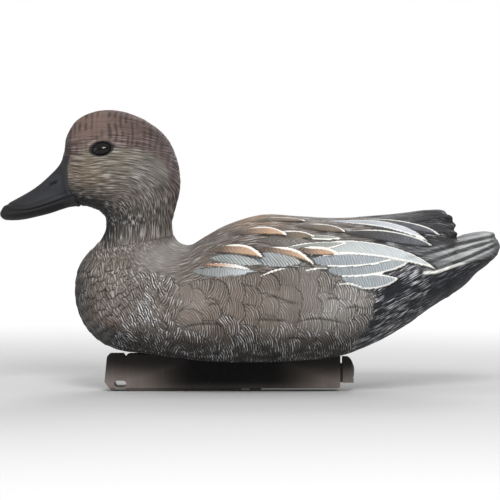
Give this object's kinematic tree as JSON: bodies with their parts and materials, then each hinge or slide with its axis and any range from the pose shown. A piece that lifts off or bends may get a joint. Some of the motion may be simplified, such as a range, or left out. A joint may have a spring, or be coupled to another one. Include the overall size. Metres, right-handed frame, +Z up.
{
  "type": "floating duck decoy",
  "caption": "Floating duck decoy with a hollow hull, a swivelling head with glossy eyes, and a ballasted keel with a line eye and a pull-out end cap.",
  "frame": {"origin": "middle of the decoy's length and width, in the plane of the keel's bottom face", "axes": "+Z up, -X towards the bill, +X towards the tail, Y across the body"},
  "size_m": [0.399, 0.155, 0.224],
  "materials": {
    "hull_paint": "matt hand-painted feather pattern on moulded plastic",
    "head_paint": "matt brown-grey feather paint with a red-brown crown and a near-black bill",
    "keel_plastic": "bare moulded plastic, dark brown-grey, slightly satin",
    "eye_gloss": "polished black acrylic",
    "swivel_plastic": "bare moulded nylon",
    "black_rubber": "matt black rubber",
    "screw_steel": "zinc-plated steel",
    "ballast_iron": "rough cast iron"
  },
  "bodies": {
    "float": {"body_shell": "hull_paint", "neck_socket": "swivel_plastic", "neck_friction_washer": "black_rubber", "keel_housing": "keel_plastic", "keel_screw_1": "screw_steel", "keel_screw_2": "screw_steel", "keel_screw_3": "screw_steel", "ballast_pad_front": "black_rubber", "ballast_bar": "ballast_iron", "ballast_pad_rear": "black_rubber"},
    "head": {"head_shell": "head_paint", "neck_spigot": "swivel_plastic", "left_eye": "eye_gloss", "right_eye": "eye_gloss", "spigot_screw_1": "screw_steel", "spigot_screw_2": "screw_steel", "spigot_screw_3": "screw_steel"},
    "end_cap": {"keel_end_cap": "keel_plastic", "end_cap_gasket": "black_rubber"},
    "plug": {"blow_hole_plug": "black_rubber"}
  },
  "joints": [
    {"name": "head_turn", "type": "hinge", "parent": "float", "child": "head", "pos_m": [-0.0943, 0, 0.1174], "axis": [-0.1702, 0, 0.9854], "continuous": true},
    {"name": "end_cap_pull", "type": "slide", "parent": "float", "child": "end_cap", "axis": [1, 0, 0], "range_m": [0, 0.016]},
    {"name": "plug_pull", "type": "slide", "parent": "float", "child": "plug", "axis": [0.3498, 0, -0.9368], "range_m": [0, 0.008]}
  ]
}
